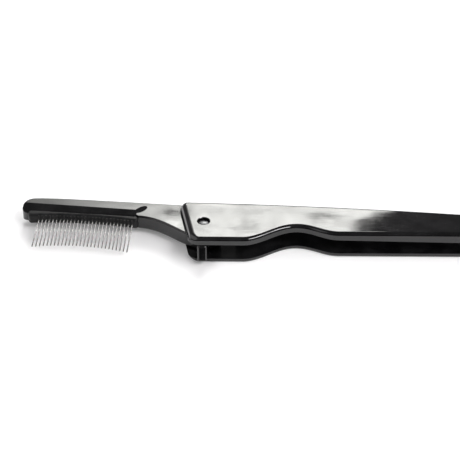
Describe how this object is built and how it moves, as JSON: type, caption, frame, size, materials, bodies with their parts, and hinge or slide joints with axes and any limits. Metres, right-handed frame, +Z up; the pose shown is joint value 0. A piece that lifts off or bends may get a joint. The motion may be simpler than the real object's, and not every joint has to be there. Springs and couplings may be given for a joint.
{
  "type": "folding lash comb",
  "caption": "Pocket lash and brow comb: fine metal teeth on a slim arm that folds into a slotted, S-curved plastic handle.",
  "frame": {"origin": "on the flat underside of the handle, 40 mm from the pivot axis towards the tail", "axes": "+X towards the handle's tail, +Y towards the handle's closed spine, +Z up from the underside; the comb is open"},
  "size_m": [0.1412, 0.0257, 0.0084],
  "materials": {
    "upper_shell": "polished black, mirror gloss",
    "lower_shell": "polished black",
    "rivet_head": "black nickel, bright",
    "rivet_cap": "black nickel",
    "arm": "polished black",
    "carrier": "satin black moulding",
    "teeth": "polished stainless steel"
  },
  "bodies": {
    "handle": {"handle_upper_shell": "upper_shell", "handle_lower_shell": "lower_shell", "pivot_rivet": "rivet_head", "rivet_cap": "rivet_cap"},
    "comb": {"comb_arm": "arm", "tooth_carrier": "carrier", "tooth_01": "teeth", "tooth_02": "teeth", "tooth_03": "teeth", "tooth_04": "teeth", "tooth_05": "teeth", "tooth_06": "teeth", "tooth_07": "teeth", "tooth_08": "teeth", "tooth_09": "teeth", "tooth_10": "teeth", "tooth_11": "teeth", "tooth_12": "teeth", "tooth_13": "teeth", "tooth_14": "teeth", "tooth_15": "teeth", "tooth_16": "teeth", "tooth_17": "teeth", "tooth_18": "teeth", "tooth_19": "teeth", "tooth_20": "teeth", "tooth_21": "teeth", "tooth_22": "teeth", "tooth_23": "teeth", "tooth_24": "teeth", "tooth_25": "teeth", "tooth_26": "teeth", "tooth_27": "teeth"}
  },
  "joints": [
    {"name": "fold", "type": "hinge", "parent": "handle", "child": "comb", "pos_m": [-0.04, 0, 0.0038], "axis": [0, 0, 1], "range_deg": [0, 180]}
  ]
}
